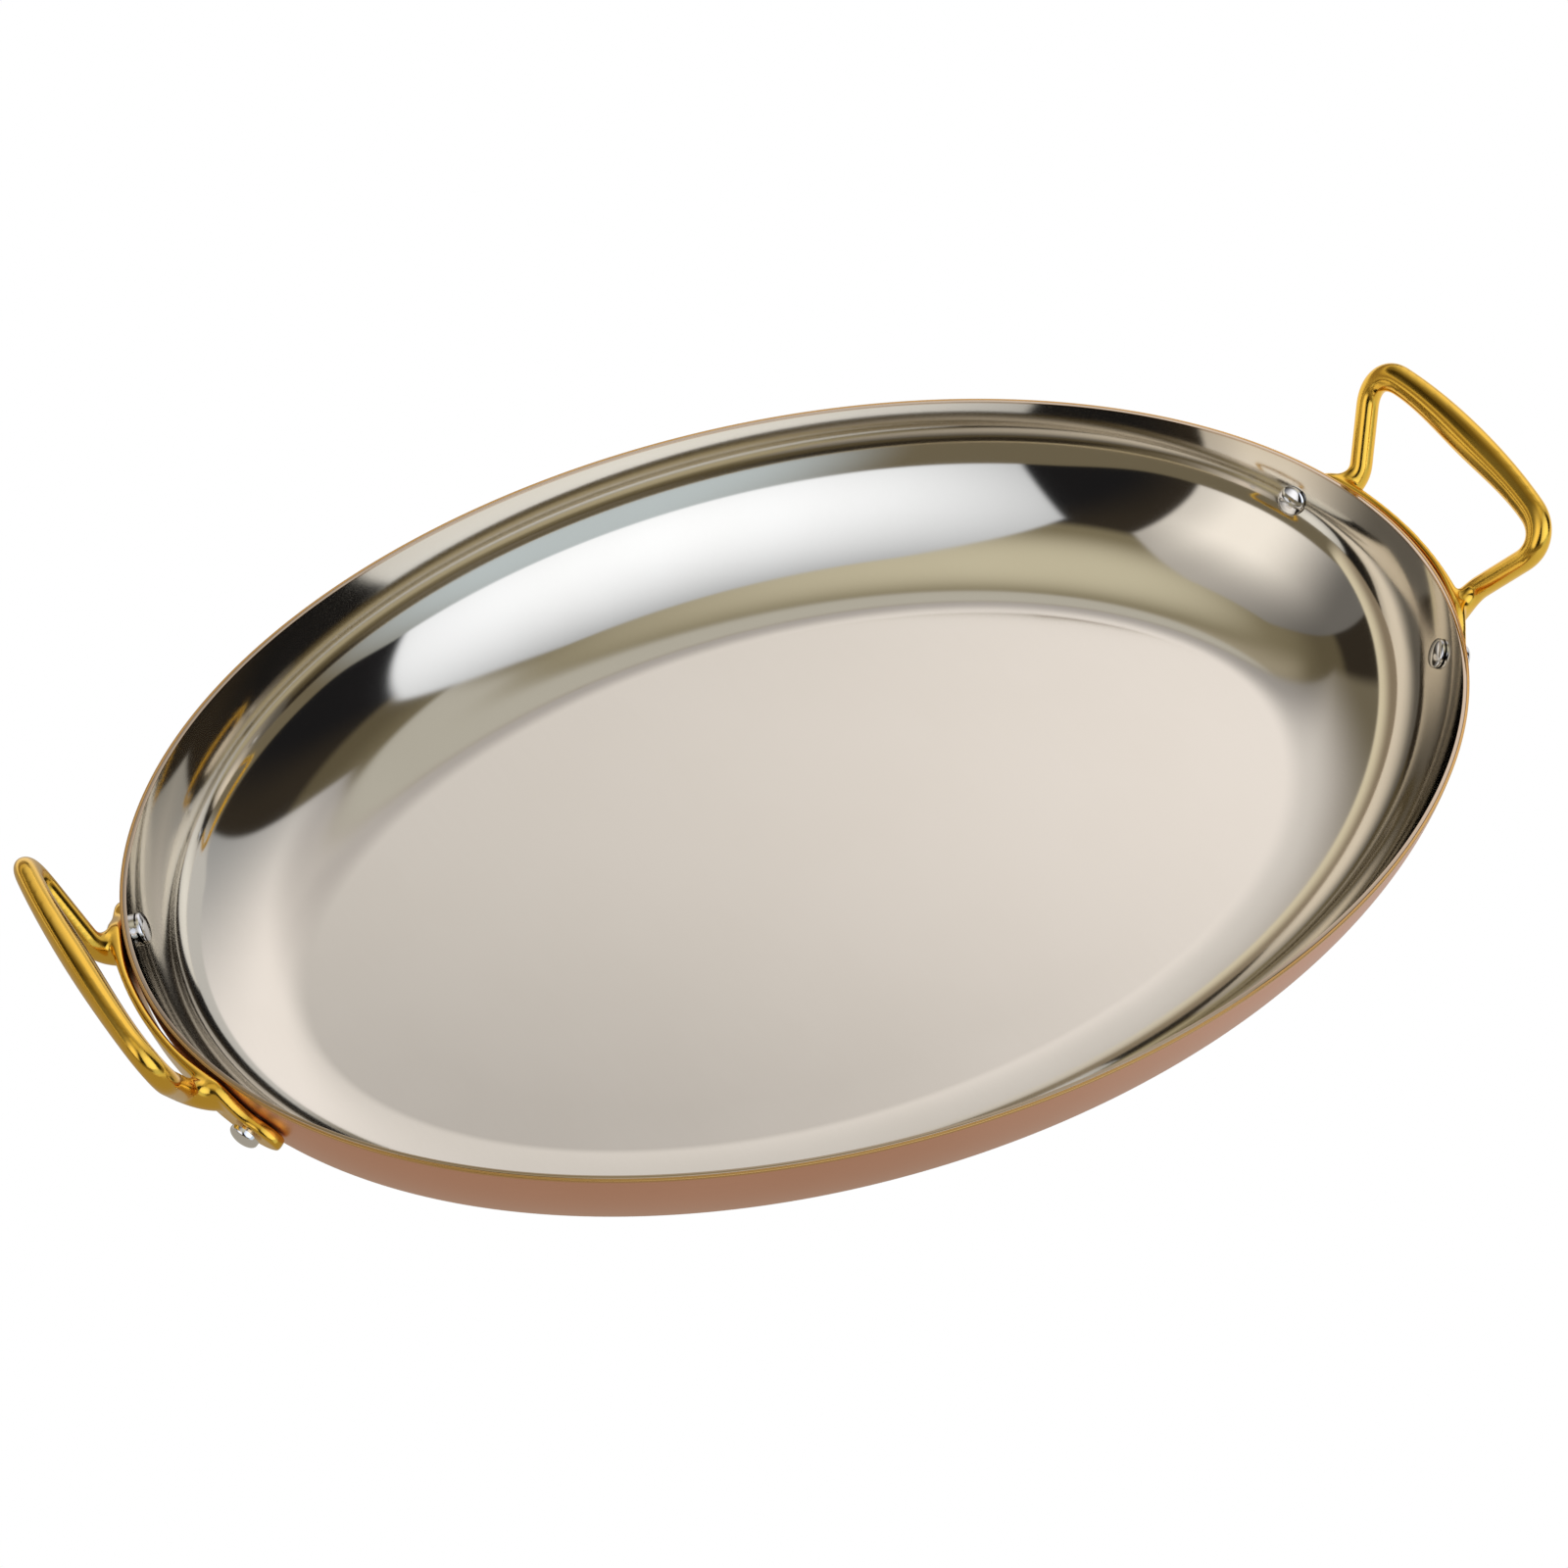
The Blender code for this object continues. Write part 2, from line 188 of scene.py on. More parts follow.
def rim(angle):
    """Point on the rim's inside edge and its outward direction, in plan. The point is
    (half length * cos, half width * sin), and the direction is square to the curve there."""
    angle = np.asarray(angle, float)
    point = np.stack([RIM_HALF_LENGTH * np.cos(angle), RIM_HALF_WIDTH * np.sin(angle)], -1)
    outward = np.stack([RIM_HALF_WIDTH * np.cos(angle), RIM_HALF_LENGTH * np.sin(angle)], -1)
    return point, outward / np.linalg.norm(outward, axis=-1, keepdims=True)


def wall_drop(tilt):
    """How far the inside face has come in and down from the rim where it leans by tilt. It is
    radius * (change of cosine) and radius * (change of sine) on the upper arc, then the lower."""
    upper = np.minimum(tilt, KNEE_TILT)
    lower = np.maximum(tilt, KNEE_TILT)
    inset = UPPER_RADIUS * (math.cos(RIM_TILT) - np.cos(upper))
    inset = inset + LOWER_RADIUS * (math.cos(KNEE_TILT) - np.cos(lower))
    depth = UPPER_RADIUS * (np.sin(upper) - math.sin(RIM_TILT))
    depth = depth + LOWER_RADIUS * (np.sin(lower) - math.sin(KNEE_TILT))
    return inset, depth


def on_wall(point, outward, tilt, out, rise=0.0):
    """Place on the wall: the rim's point drawn in by the inset, then moved by out along the wall's
    outward normal (outward * cos tilt, -sin tilt) and by rise up the wall."""
    inset, depth = wall_drop(tilt)
    along = out * np.cos(tilt) + rise * np.sin(tilt) - inset
    height = RIM_HEIGHT - depth - out * np.sin(tilt) + rise * np.cos(tilt)
    plan = point + outward * along[..., None]
    return np.concatenate([plan, np.broadcast_to(height[..., None], plan[..., :1].shape)], -1)


def layer(name, inner, outer, material):
    """One sheet of the pan between two distances out of the inside face. Its profile runs over
    the inside floor and wall, the cut edge, and back down the outside with half as many rings,
    which lie closest under the rim. A rounded corner of the edge goes in by rounding * (1 - cos)
    and down by rounding * (1 - sin)."""
    close = RIM_TILT + FIRST_TILT_STEP * np.array([1, 2])
    rest = np.linspace(RIM_TILT + 3 * FIRST_TILT_STEP, math.pi / 2, WALL_RINGS)
    fall = np.concatenate([close, rest])
    back = fall[::2]
    corner = np.linspace(0.0, math.pi / 2, EDGE_POINTS)
    edge_out = np.concatenate([inner + EDGE_ROUNDING * (1 - np.cos(corner)),
                               outer - EDGE_ROUNDING * (1 - np.sin(corner))])
    edge_rise = np.concatenate([EDGE_ROUNDING * (np.sin(corner) - 1),
                                EDGE_ROUNDING * (np.cos(corner) - 1)])
    tilt = np.concatenate([fall[::-1], np.full(len(edge_out), RIM_TILT), back])
    out = np.concatenate([np.full(len(fall), inner), edge_out, np.full(len(back), outer)])
    rise = np.concatenate([np.zeros(len(fall)), edge_rise, np.zeros(len(back))])
    point, outward = rim(np.linspace(0.0, 2 * math.pi, PAN_SIDES, endpoint=False))
    wall = on_wall(point[None], outward[None], tilt[:, None], out[:, None], rise[:, None])
    shares = np.linspace(SMALLEST_RING, 1.0, FLOOR_RINGS)[:-1, None, None]
    upright = np.array([0.0, 0.0, 1.0])
    inside = wall[:1] * (shares + (1 - shares) * upright)
    outside = wall[-1:] * (shares[::-1] + (1 - shares[::-1]) * upright)
    return skin(name, np.concatenate([inside, wall, outside]), material)


def polished_steel():
    """Mirror steel. Faint clouds of buffing change its gloss, a little more on the floor, where
    the height is low, and very fine lines from the buffing wheel run across it. The cut edge,
    close under the rim's height, has a warmer tint."""
    material, shader, place = finish("polished_steel")
    height = place.axes()[2]
    floor_to, wall_from = PAN_WALL + 0.001, PAN_WALL + 0.010
    on_floor = height.step(floor_to, wall_from, 1.0, 0.0)
    cloud = place.grain(per_metre=24.0, detail=3.0)
    lines = place.stretched((1.0, 0.06, 1.0), turn=0.5).grain(per_metre=1400.0, detail=2.0)
    roughness = STEEL_ROUGHNESS + cloud * 0.03 + on_floor * (cloud * 0.05 + lines * 0.01)
    set_socket(shader, "Roughness", roughness)
    tint = (cloud * 0.8 + lines * 0.2).step(0.3, 0.7)
    edge_from, edge_to = RIM_HEIGHT - 0.0007, RIM_HEIGHT - 0.0002
    edge = height.step(edge_from, edge_to)
    colour = edge.blend(tint.blend(STEEL_DARK, STEEL_PALE), STEEL_EDGE)
    set_socket(shader, "Base Color", colour)
    return material


liner = layer("pan_liner", 0.0, STEEL_WALL, polished_steel())
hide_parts("steel_liner")
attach(liner, "root")


# Copper shell
# The outer layer is copper sheet bonded to the steel. It is left with a fine satin grain, and
# its cut edge rings the rim just outside the steel as a glossy golden line, darker as painted shade.
COPPER_GAP = 0.00002
COPPER_ROUGHNESS = 0.27
COPPER_DARK = (0.78, 0.43, 0.31, 1)
COPPER_PALE = (0.83, 0.47, 0.35, 1)
COPPER_EDGE_GOLD_AND_SHADE = (0.66, 0.40, 0.15, 1)


def satin_copper():
    """Copper with a fine grain that runs round the pan and faint clouds of darker handling. Its
    edge, close under the rim's height, is glossier and golden, and its darker tone there is painted
    shade."""
    material, shader, place = finish("satin_copper")
    height = place.axes()[2]
    cloud = place.grain(per_metre=18.0, detail=3.0)
    grain = place.stretched((1.0, 1.0, 14.0)).grain(per_metre=420.0, detail=3.0)
    edge_from, edge_to = RIM_HEIGHT - 0.0014, RIM_HEIGHT - 0.0003
    edge = height.step(edge_from, edge_to)
    set_socket(shader, "Roughness", COPPER_ROUGHNESS + cloud * 0.06 + grain * 0.06 - edge * 0.12)
    tint = (cloud * 0.7 + grain * 0.3).step(0.3, 0.7)
    # Painted shade: the edge's golden colour is darker than the copper round it.
    colour = edge.blend(tint.blend(COPPER_DARK, COPPER_PALE), COPPER_EDGE_GOLD_AND_SHADE)
    set_socket(shader, "Base Color", colour)
    return material


shell = layer("pan_shell", STEEL_WALL + COPPER_GAP, PAN_WALL - COPPER_GAP, satin_copper())
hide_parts("copper_shell")
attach(shell, "root")


# Rivets
# Four solid steel rivets, each with a domed head inside the pan and another over the handle's
# pad, set through the wall and the pad and polished. A head's pair is its radius and height.
RIVET_RUN = 0.0365
RIVET_SLANT = 0.0111
SHANK_RADIUS = 0.0022
INNER_HEAD = (0.0040, 0.0015)
OUTER_HEAD = (0.0038, 0.0026)
HEAD_SIDE = 0.28
CROWN_RADIUS = 0.00008
PAD_THICKNESS = 0.0034
SEAT_CLEARANCE = 0.0003
HEAD_CLEARANCE = 0.0004
HEAD_RINGS = 14
RIVET_SIDES = 56
RIVET_EDGE_ANGLE = math.radians(50)
RUN_ANGLE = 0.8
RUN_POINTS = 1601
RIVET_ROUGHNESS = 0.05
RIVET_COLOUR = (0.80, 0.80, 0.81, 1)


def rim_at_run(run):
    """The rim's point and outward direction at a distance along it from the +X end, found by
    adding up the curve's speed, hypot(half length * sin, half width * cos)."""
    angles = np.linspace(-RUN_ANGLE, RUN_ANGLE, RUN_POINTS)
    speeds = np.hypot(RIM_HALF_LENGTH * np.sin(angles), RIM_HALF_WIDTH * np.cos(angles))
    lengths = np.cumsum(speeds) * (angles[1] - angles[0])
    lengths -= np.interp(0.0, angles, lengths)
    return rim(np.interp(run, lengths, angles))


def off_wall(run, slant, out):
    """Place at a run along the rim, a slant down the wall and a distance out of its inside face."""
    run, slant, out = np.broadcast_arrays(run, slant, out)
    point, outward = rim_at_run(run)
    return on_wall(point, outward, RIM_TILT + slant / UPPER_RADIUS, out)


def head_profile(radius, height):
    """(radius, height) over a domed head, from its crown to the top of its short straight side.
    It is (radius * cos, side + (height - side) * sin) over a quarter turn."""
    side = HEAD_SIDE * height
    turn = np.linspace(math.pi / 2, 0.0, HEAD_RINGS)
    return np.stack([radius * np.cos(turn), side + (height - side) * np.sin(turn)], -1)


def rivet_steel():
    """Bright steel with a few fine hammer and polish marks."""
    material, shader, place = finish("rivet_steel")
    marks = place.grain(per_metre=900.0, detail=2.0)
    set_socket(shader, "Base Color", RIVET_COLOUR)
    set_socket(shader, "Roughness", RIVET_ROUGHNESS + marks * 0.06)
    bump = place.node("ShaderNodeBump", {"Height": marks, "Strength": 0.04, "Distance": 0.0002})
    set_socket(shader, "Normal", bump)
    return material


def rivet(name, node, run, side, material):
    """One rivet, turned about its own axis: the profile's radius and height become
    radius * (cos, sin) across the axis and height along it."""
    seat = PAN_WALL + SEAT_CLEARANCE + PAD_THICKNESS + SEAT_CLEARANCE
    outer = head_profile(*OUTER_HEAD) + (0.0, seat)
    inner = head_profile(*INNER_HEAD) * (1, -1) - (0.0, HEAD_CLEARANCE)
    outer_foot = np.array([[OUTER_HEAD[0], seat], [SHANK_RADIUS, seat]])
    inner_foot = np.array([[SHANK_RADIUS, -HEAD_CLEARANCE], [INNER_HEAD[0], -HEAD_CLEARANCE]])
    profile = np.concatenate([outer, outer_foot, inner_foot, inner[::-1]])
    profile[0, 0] = profile[-1, 0] = CROWN_RADIUS
    origin = off_wall(run, RIVET_SLANT, 0.0)
    axis = off_wall(run, RIVET_SLANT, 1.0) - origin
    across = np.cross(axis, (0.0, 0.0, 1.0))
    across /= np.linalg.norm(across)
    third = np.cross(axis, across)
    turn = np.linspace(0.0, 2 * math.pi, RIVET_SIDES, endpoint=False)[None, :, None]
    radius, height = profile[:, 0, None, None], profile[:, 1, None, None]
    rings = origin + radius * (np.cos(turn) * across + np.sin(turn) * third) + height * axis
    piece = skin(name, rings * (side, 1, 1), material)
    piece.data.set_sharp_from_angle(angle=RIVET_EDGE_ANGLE)
    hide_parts(node)
    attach(piece, "root")


rivet_finish = rivet_steel()
for side, side_name in ((1, "right"), (-1, "left")):
    for run, end_name in ((-RIVET_RUN, "front"), (RIVET_RUN, "back")):
        node_name = f"rivet_{side_name}_{end_name}"
        rivet(node_name + "_polished", node_name, run, side, rivet_finish)


# Brass handles
# Each handle is one brass casting: a strap curved to the wall with a riveted pad at each end,
# and a loop that leaves it on two flared feet. The whole of it is polished.
STRAP_THICKNESS = 0.0022
STRAP_TOP_SLANT = 0.0002
STRAP_BOTTOM_SLANT = 0.0128
STRAP_TOP_STANDOFF = 0.0010
STRAP_BOTTOM_STANDOFF = 0.0002
STRAP_ROUNDING = 0.0008
PAD_TOP_DROP = 0.0055
PAD_BOTTOM_DROP = 0.0032
PAD_REACH = 0.0093
PAD_DROPPED_RUN = RIVET_RUN + 0.3 * PAD_REACH
FULL_PAD_RUN = RIVET_RUN - 1.6 * OUTER_HEAD[0]
ROUNDING_SHARE = 0.6
FOOT_RUN = 0.0272
FULL_STANDOFF_RUN = 0.45 * FOOT_RUN
FOOT_SLANT = 0.0056
FOOT_INNER_WIDTH = 0.0055
FOOT_OUTER_WIDTH = 0.0046
FOOT_HALF_HEIGHT = 0.0050
FOOT_LEAN = 0.15
FOOT_PULL_OUT = 0.20
FOOT_PULL_IN = 0.40
KNEE_REACH = 0.0066
KNEE_HALF_SPAN = 0.0276
KNEE_RISE = 0.0004
LEG_RADIUS = 0.0031
GRIP_HALF_SPAN = 0.0410
GRIP_REACH = 0.0165
GRIP_RISE = 0.0223
GRIP_BOW_OUT = 0.0023
GRIP_BOW_UP = 0.0024
GRIP_HALF_DEPTH = 0.0049
GRIP_HALF_THICKNESS = 0.0034
GRIP_END_HALF_DEPTH = 0.0041
GRIP_END_HALF_THICKNESS = 0.0030
CORNER_RADIUS = 0.0115
CORNER_PULL = 0.55
PAD_END_TURN = 0.499 * math.pi
PAD_RINGS = 22
STRAP_RINGS = 121
STRAP_CORNER_POINTS = 10
LOOP_SIDES = 48
FOOT_RINGS = 30
LEG_RINGS = 18
CORNER_RINGS = 40
GRIP_RINGS = 50
LOOK_AHEAD = 1e-4
CASTING_VOXEL = 0.00034
FETTLING_FACTOR = 0.5
FETTLING_PASSES = 40
BRASS_ROUGHNESS = 0.12
BRASS_DARK = (0.82, 0.48, 0.055, 1)
BRASS_PALE = (0.89, 0.55, 0.085, 1)


def smooth_step(value):
    """value^2 * (3 - 2 * value), with the value held between 0 and 1."""
    value = np.clip(value, 0.0, 1.0)
    return value * value * (3.0 - 2.0 * value)


def strap_rings():
    """Rings along the strap. Each is a rounded rectangle between the strap's top and bottom
    slant and its two faces, narrowed over the pad's end by sqrt(1 - past^2). Between the pads it
    is thinner and stands off the wall, and towards them smooth steps bring it down and in."""
    tail = RIVET_RUN + PAD_REACH * np.sin(np.linspace(0.0, PAD_END_TURN, PAD_RINGS))
    between_rivets = np.linspace(-RIVET_RUN, RIVET_RUN, STRAP_RINGS)[1:-1]
    run = np.concatenate([-tail[::-1], between_rivets, tail])[:, None]
    distance = np.abs(run)
    droop = smooth_step((distance - FOOT_RUN) / (PAD_DROPPED_RUN - FOOT_RUN))
    top = STRAP_TOP_SLANT + PAD_TOP_DROP * droop
    bottom = STRAP_BOTTOM_SLANT + PAD_BOTTOM_DROP * droop
    past = np.maximum(distance - RIVET_RUN, 0.0) / PAD_REACH
    half = 0.5 * (bottom - top) * np.sqrt(1.0 - past * past)
    middle = 0.5 * (bottom + top)
    share = (distance - FULL_STANDOFF_RUN) / (FULL_PAD_RUN - FULL_STANDOFF_RUN)
    between = 1.0 - smooth_step(share)
    thickness = PAD_THICKNESS + (STRAP_THICKNESS - PAD_THICKNESS) * between
    turn = np.linspace(0.0, math.pi / 2, STRAP_CORNER_POINTS)
    turn = np.concatenate([turn + quarter * math.pi / 2 for quarter in range(4)])
    rounding = np.minimum(STRAP_ROUNDING, ROUNDING_SHARE * half)
    quarter = np.repeat(np.arange(4), STRAP_CORNER_POINTS)
    side_slant = np.where((quarter == 0) | (quarter == 3), 1.0, -1.0)
    side_height = np.where(quarter < 2, 1.0, -1.0)
    slant = middle + side_slant * (half - rounding) + rounding * np.cos(turn)
    height = 0.5 * thickness + side_height * (0.5 * thickness - rounding) + rounding * np.sin(turn)
    share = (slant - STRAP_TOP_SLANT) / (STRAP_BOTTOM_SLANT - STRAP_TOP_SLANT)
    standoff = STRAP_TOP_STANDOFF + (STRAP_BOTTOM_STANDOFF - STRAP_TOP_STANDOFF) * share
    return off_wall(run, slant, PAN_WALL + SEAT_CLEARANCE + between * standoff + height)


def bezier(start, pull_out, pull_in, end, share):
    """Cubic curve: start * r^3 + pull_out * 3 r^2 s + pull_in * 3 r s^2 + end * s^3, r = 1 - s."""
    rest = 1.0 - share
    return (start * rest**3 + pull_out * (3 * rest**2 * share)
            + pull_in * (3 * rest * share**2) + end * share**3)


def unit(vector):
    """A vector over its own length."""
    return vector / np.linalg.norm(vector, axis=-1, keepdims=True)


def loop_rings():
    """Rings of the loop. Each foot is a curve for every point, from an oval sunk in the strap to
    the round leg. From there ovals follow Bezier spans up the leg, round the corner and along
    half the grip, and the second half is the first with Y turned round."""
    knee = np.array([RIM_HALF_LENGTH + KNEE_REACH, KNEE_HALF_SPAN, RIM_HEIGHT + KNEE_RISE])
    corner = np.array([RIM_HALF_LENGTH + GRIP_REACH, GRIP_HALF_SPAN, RIM_HEIGHT + GRIP_RISE])
    middle = np.array([corner[0] + GRIP_BOW_OUT, 0.0, corner[2] + GRIP_BOW_UP])
    y_axis = np.array([0.0, 1.0, 0.0])
    leg = unit(corner - knee)
    grip = unit(np.array([2 * GRIP_BOW_OUT, -GRIP_HALF_SPAN, 2 * GRIP_BOW_UP]))
    inward = unit(np.cross(leg, y_axis))
    inward = inward * -np.sign(inward[0])
    sideways = unit(np.cross(inward, leg))
    turn = np.linspace(0.0, 2 * math.pi, LOOP_SIDES, endpoint=False)[:, None]

    rise, across = np.cos(turn[:, 0]), np.sin(turn[:, 0])
    width = np.where(across > 0, FOOT_OUTER_WIDTH, FOOT_INNER_WIDTH)
    sunk = PAN_WALL + SEAT_CLEARANCE + 0.5 * STRAP_THICKNESS
    start = off_wall(FOOT_RUN + width * across, FOOT_SLANT - FOOT_HALF_HEIGHT * rise, sunk)
    normal = off_wall(FOOT_RUN, FOOT_SLANT, 1.0) - off_wall(FOOT_RUN, FOOT_SLANT, 0.0)
    end = knee + (inward * np.cos(turn) + sideways * np.sin(turn)) * LEG_RADIUS
    length = np.linalg.norm(end - start, axis=-1, keepdims=True)
    pull_out = start + (end - start) * FOOT_LEAN + normal * (FOOT_PULL_OUT * length)
    pull_in = end - leg * (FOOT_PULL_IN * length)
    share = np.linspace(0.0, 1.0, FOOT_RINGS)[:-1, None, None]
    foot = bezier(start, pull_out, pull_in, end, share)

    leg_top = corner - leg * CORNER_RADIUS
    grip_end = corner + grip * CORNER_RADIUS
    leg_pull = leg * (np.linalg.norm(leg_top - knee) / 3)
    grip_pull = np.linalg.norm(middle - grip_end) / 3
    leg_turn = leg * CORNER_RADIUS * CORNER_PULL
    grip_turn = grip * CORNER_RADIUS * CORNER_PULL
    round_leg = (LEG_RADIUS, LEG_RADIUS)
    oval_end = (GRIP_END_HALF_DEPTH, GRIP_END_HALF_THICKNESS)
    oval_middle = (GRIP_HALF_DEPTH, GRIP_HALF_THICKNESS)
    spans = (
        (knee, knee + leg_pull, leg_top - leg_pull, leg_top, LEG_RINGS, round_leg, round_leg),
        (leg_top, leg_top + leg_turn, grip_end - grip_turn, grip_end,
         CORNER_RINGS, round_leg, oval_end),
        (grip_end, grip_end + grip * grip_pull, middle + y_axis * grip_pull, middle,
         GRIP_RINGS, oval_end, oval_middle),
    )
    half = [foot]
    for first, pull_out, pull_in, last, steps, size_from, size_to in spans:
        share = np.linspace(0.0, 1.0, steps + 1)[:-1, None]
        centre = bezier(first, pull_out, pull_in, last, share)
        ahead = bezier(first, pull_out, pull_in, last, share + LOOK_AHEAD)
        tangent = unit(ahead - centre)
        thick = unit(inward - tangent * (tangent @ inward)[:, None])
        deep = np.cross(thick, tangent)
        size = np.array(size_from) + (np.array(size_to) - size_from) * smooth_step(share)
        thick, deep = thick * size[:, 1:], deep * size[:, :1]
        half.append(centre[:, None] + thick[:, None] * np.cos(turn) + deep[:, None] * np.sin(turn))
    half = np.concatenate(half)
    return np.concatenate([half, half[::-1] * (1, -1, 1)])


def polished_brass():
    """Yellow brass with a soft polish: faint clouds in its colour and gloss, and fine drawn marks."""
    material, shader, place = finish("polished_brass")
    cloud = place.grain(per_metre=70.0, detail=3.0)
    marks = place.stretched((1.0, 0.15, 1.0)).grain(per_metre=1500.0, detail=2.0)
    set_socket(shader, "Roughness", BRASS_ROUGHNESS + cloud * 0.06 + marks * 0.015)
    set_socket(shader, "Base Color", cloud.blend(BRASS_DARK, BRASS_PALE))
    return material


brass = polished_brass()
for side, side_name in ((1, "right"), (-1, "left")):
    handle = skin(f"handle_{side_name}_casting", strap_rings() * (side, 1, 1), brass)
    loop = skin("loop", loop_rings() * (side, 1, 1), brass)
    shape = bmesh.new()
    shape.from_mesh(handle.data)
    shape.from_mesh(loop.data)
    shape.to_mesh(handle.data)
    shape.free()
    bpy.data.objects.remove(loop)
    fused = handle.modifiers.new("Fused", "REMESH")
    fused.mode = "VOXEL"
    fused.voxel_size = CASTING_VOXEL
    fused.use_smooth_shade = True
    fettled = handle.modifiers.new("Fettled", "SMOOTH")
    fettled.factor = FETTLING_FACTOR
    fettled.iterations = FETTLING_PASSES
    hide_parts(f"handle_{side_name}")
    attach(handle, "root")


# Studio
# A floor that is plain white to the camera and glows with painted light in the metal's reflections,
# and three soft panels of light in a dark room that the polished metal mirrors. A panel is a patch of
# the sphere of directions, as a room's light comes from far away.
# A corner is (azimuth, elevation) in degrees, and a height is the sine of an elevation.
FLOOR_SIZE = 30.0
FLOOR_RIGHT = (0.870193, -0.492215)
FLOOR_BEHIND = (0.365243, 0.614284)
# The floor's glow in reflections is painted light and shade: dim and warm to the front and left,
# cooler to the right, brightest behind.
FLOOR_WARM = (0.42, 0.38, 0.31, 1)
FLOOR_COOL = (0.73, 0.75, 0.73, 1)
FLOOR_BRIGHT = (0.97, 0.94, 0.89, 1)
WHITE = (1.0, 1.0, 1.0, 1)
EDGE_SOFTNESS = 0.012
FRONT_PANEL = ((240, 14), (231, 54), (249, 71), (297, 79.5), (346, 66), (331, 45), (313, 14))
FRONT_CENTRE = (285, 45)
FRONT_BRIGHTEST = (287, 30)
FRONT_GAIN = 1.6
FRONT_LOSS = 0.592
SIDE_PANEL = ((206, 8), (213, 56), (193, 69), (165, 73), (128, 62), (133, 45), (143, 8))
SIDE_CENTRE = (175, 40)
SIDE_DIMMING = (0.60, 0.97)
BACK_EDGE = ((352, 11), (355, 43))
BACK_CENTRE = (40, 30)
BACK_LOW_TOP = 0.66
BACK_HIGH_TOP = 0.815
BACK_DIMMING = (0.69, 0.80)
WALL_HEIGHTS = (0.72, 0.90)
CEILING_HEIGHTS = (0.88, 1.01)
WIDE_LEDGE_BOTTOM = (0.78, 0.84)
WIDE_LEDGE_TOP = (0.87, 0.92)
BRIGHT_LEDGE_BOTTOM = (0.81, 0.83)
BRIGHT_LEDGE_TOP = (0.89, 0.92)
DARK_TOP = 0.62
DARK_SOFTNESS = 0.03
LOW_TOP = 0.250
TABLE_EDGE = ((80, 22), (165, 8))
TABLE_CENTRE = (120, -60)
TABLE_DEPTHS = (0.02, 0.14)
CAMERA_PLACE = (-0.44379, -0.73261, 0.86910)
CAMERA_RIGHT = (0.870193, -0.492215, 0.022119)
CAMERA_DOWN = (-0.3307, -0.616749, -0.714323)
CAMERA_AHEAD = (0.365243, 0.614284, -0.699466)
CAMERA_LENS = 109.125
CAMERA_SENSOR = 36.0
CAMERA_CLIP = (0.01, 50.0)


def white_floor_painted_light():
    """Pure white to the camera. To every other ray the floor glows with painted light and shade,
    which
    the metal mirrors: warm and dim to the front and left of the pan, cooler to its right, and
    brightest behind."""
    material = bpy.data.materials.new("white_floor_painted_light")
    material.use_nodes = True
    tree = material.node_tree
    place = Field(tree, tree.nodes.new("ShaderNodeTexCoord").outputs["Object"])
    ray = Field(tree, tree.nodes.new("ShaderNodeLightPath").outputs["Is Camera Ray"])
    x, y = place.axes()[:2]
    rightwards = x * FLOOR_RIGHT[0] + y * FLOOR_RIGHT[1]
    backwards = x * FLOOR_BEHIND[0] + y * FLOOR_BEHIND[1]
    # Painted light and shade: the floor's glow is dim to the front and left, cooler to the right and
    # brightest behind.
    painted_floor_light = rightwards.step(0.0, 0.30).blend(FLOOR_WARM, FLOOR_COOL)
    painted_floor_light = backwards.step(0.0, 0.13).blend(painted_floor_light, FLOOR_BRIGHT)
    white = ray.node("ShaderNodeEmission", {"Color": ray.blend(painted_floor_light, WHITE)})
    tree.links.new(white.socket, tree.nodes["Material Output"].inputs["Surface"])
    return material


floor_mesh = bpy.data.meshes.new("floor")
corners = np.array([(-1, -1), (1, -1), (1, 1), (-1, 1)]) * FLOOR_SIZE / 2
floor_mesh.from_pydata([(x, y, 0.0) for x, y in corners.tolist()], [], [(0, 1, 2, 3)])
floor = bpy.data.objects.new("floor", floor_mesh)
bpy.context.scene.collection.objects.link(floor)
floor_mesh.materials.append(white_floor_painted_light())

world = bpy.data.worlds.new("studio")
world.use_nodes = True
bpy.context.scene.world = world
tree = world.node_tree
sky = Field(tree, tree.nodes.new("ShaderNodeTexCoord").outputs["Generated"])
up = sky.axes()[2]


def toward(azimuth, elevation=0.0):
    """Unit vector to an azimuth, turned from +X, and an elevation, both in degrees."""
    a, e = math.radians(azimuth), math.radians(elevation)
    return np.array([math.cos(e) * math.cos(a), math.cos(e) * math.sin(a), math.sin(e)])


def along(axis):
    """How far each direction of the sky goes along a unit vector, from -1 to 1."""
    settings = {"operation": "DOT_PRODUCT"}
    return sky.node("ShaderNodeVectorMath", {0: sky, 1: axis.tolist()}, settings, output="Value")


def facing(azimuth, low, high):
    """0 to 1 over the sky, while a direction's share along an azimuth goes from low to high."""
    return along(toward(azimuth)).step(low, high)


def above(height, softness=EDGE_SOFTNESS):
    """1 over a height in the sky and 0 under it, with a soft edge."""
    return (up - height).step(-softness, softness)


def below(height):
    """1 under a height in the sky and 0 over it, with a soft edge."""
    return (up - height).step(-EDGE_SOFTNESS, EDGE_SOFTNESS, 1.0, 0.0)


def edge(first, last, centre):
    """Sine of a direction's angle from the great circle through two directions, positive on the
    centre's side. The circle's axis is the cross product of the two."""
    axis = np.cross(toward(*first), toward(*last))
    axis = axis / np.linalg.norm(axis)
    return along(axis * np.sign(axis @ toward(*centre)))


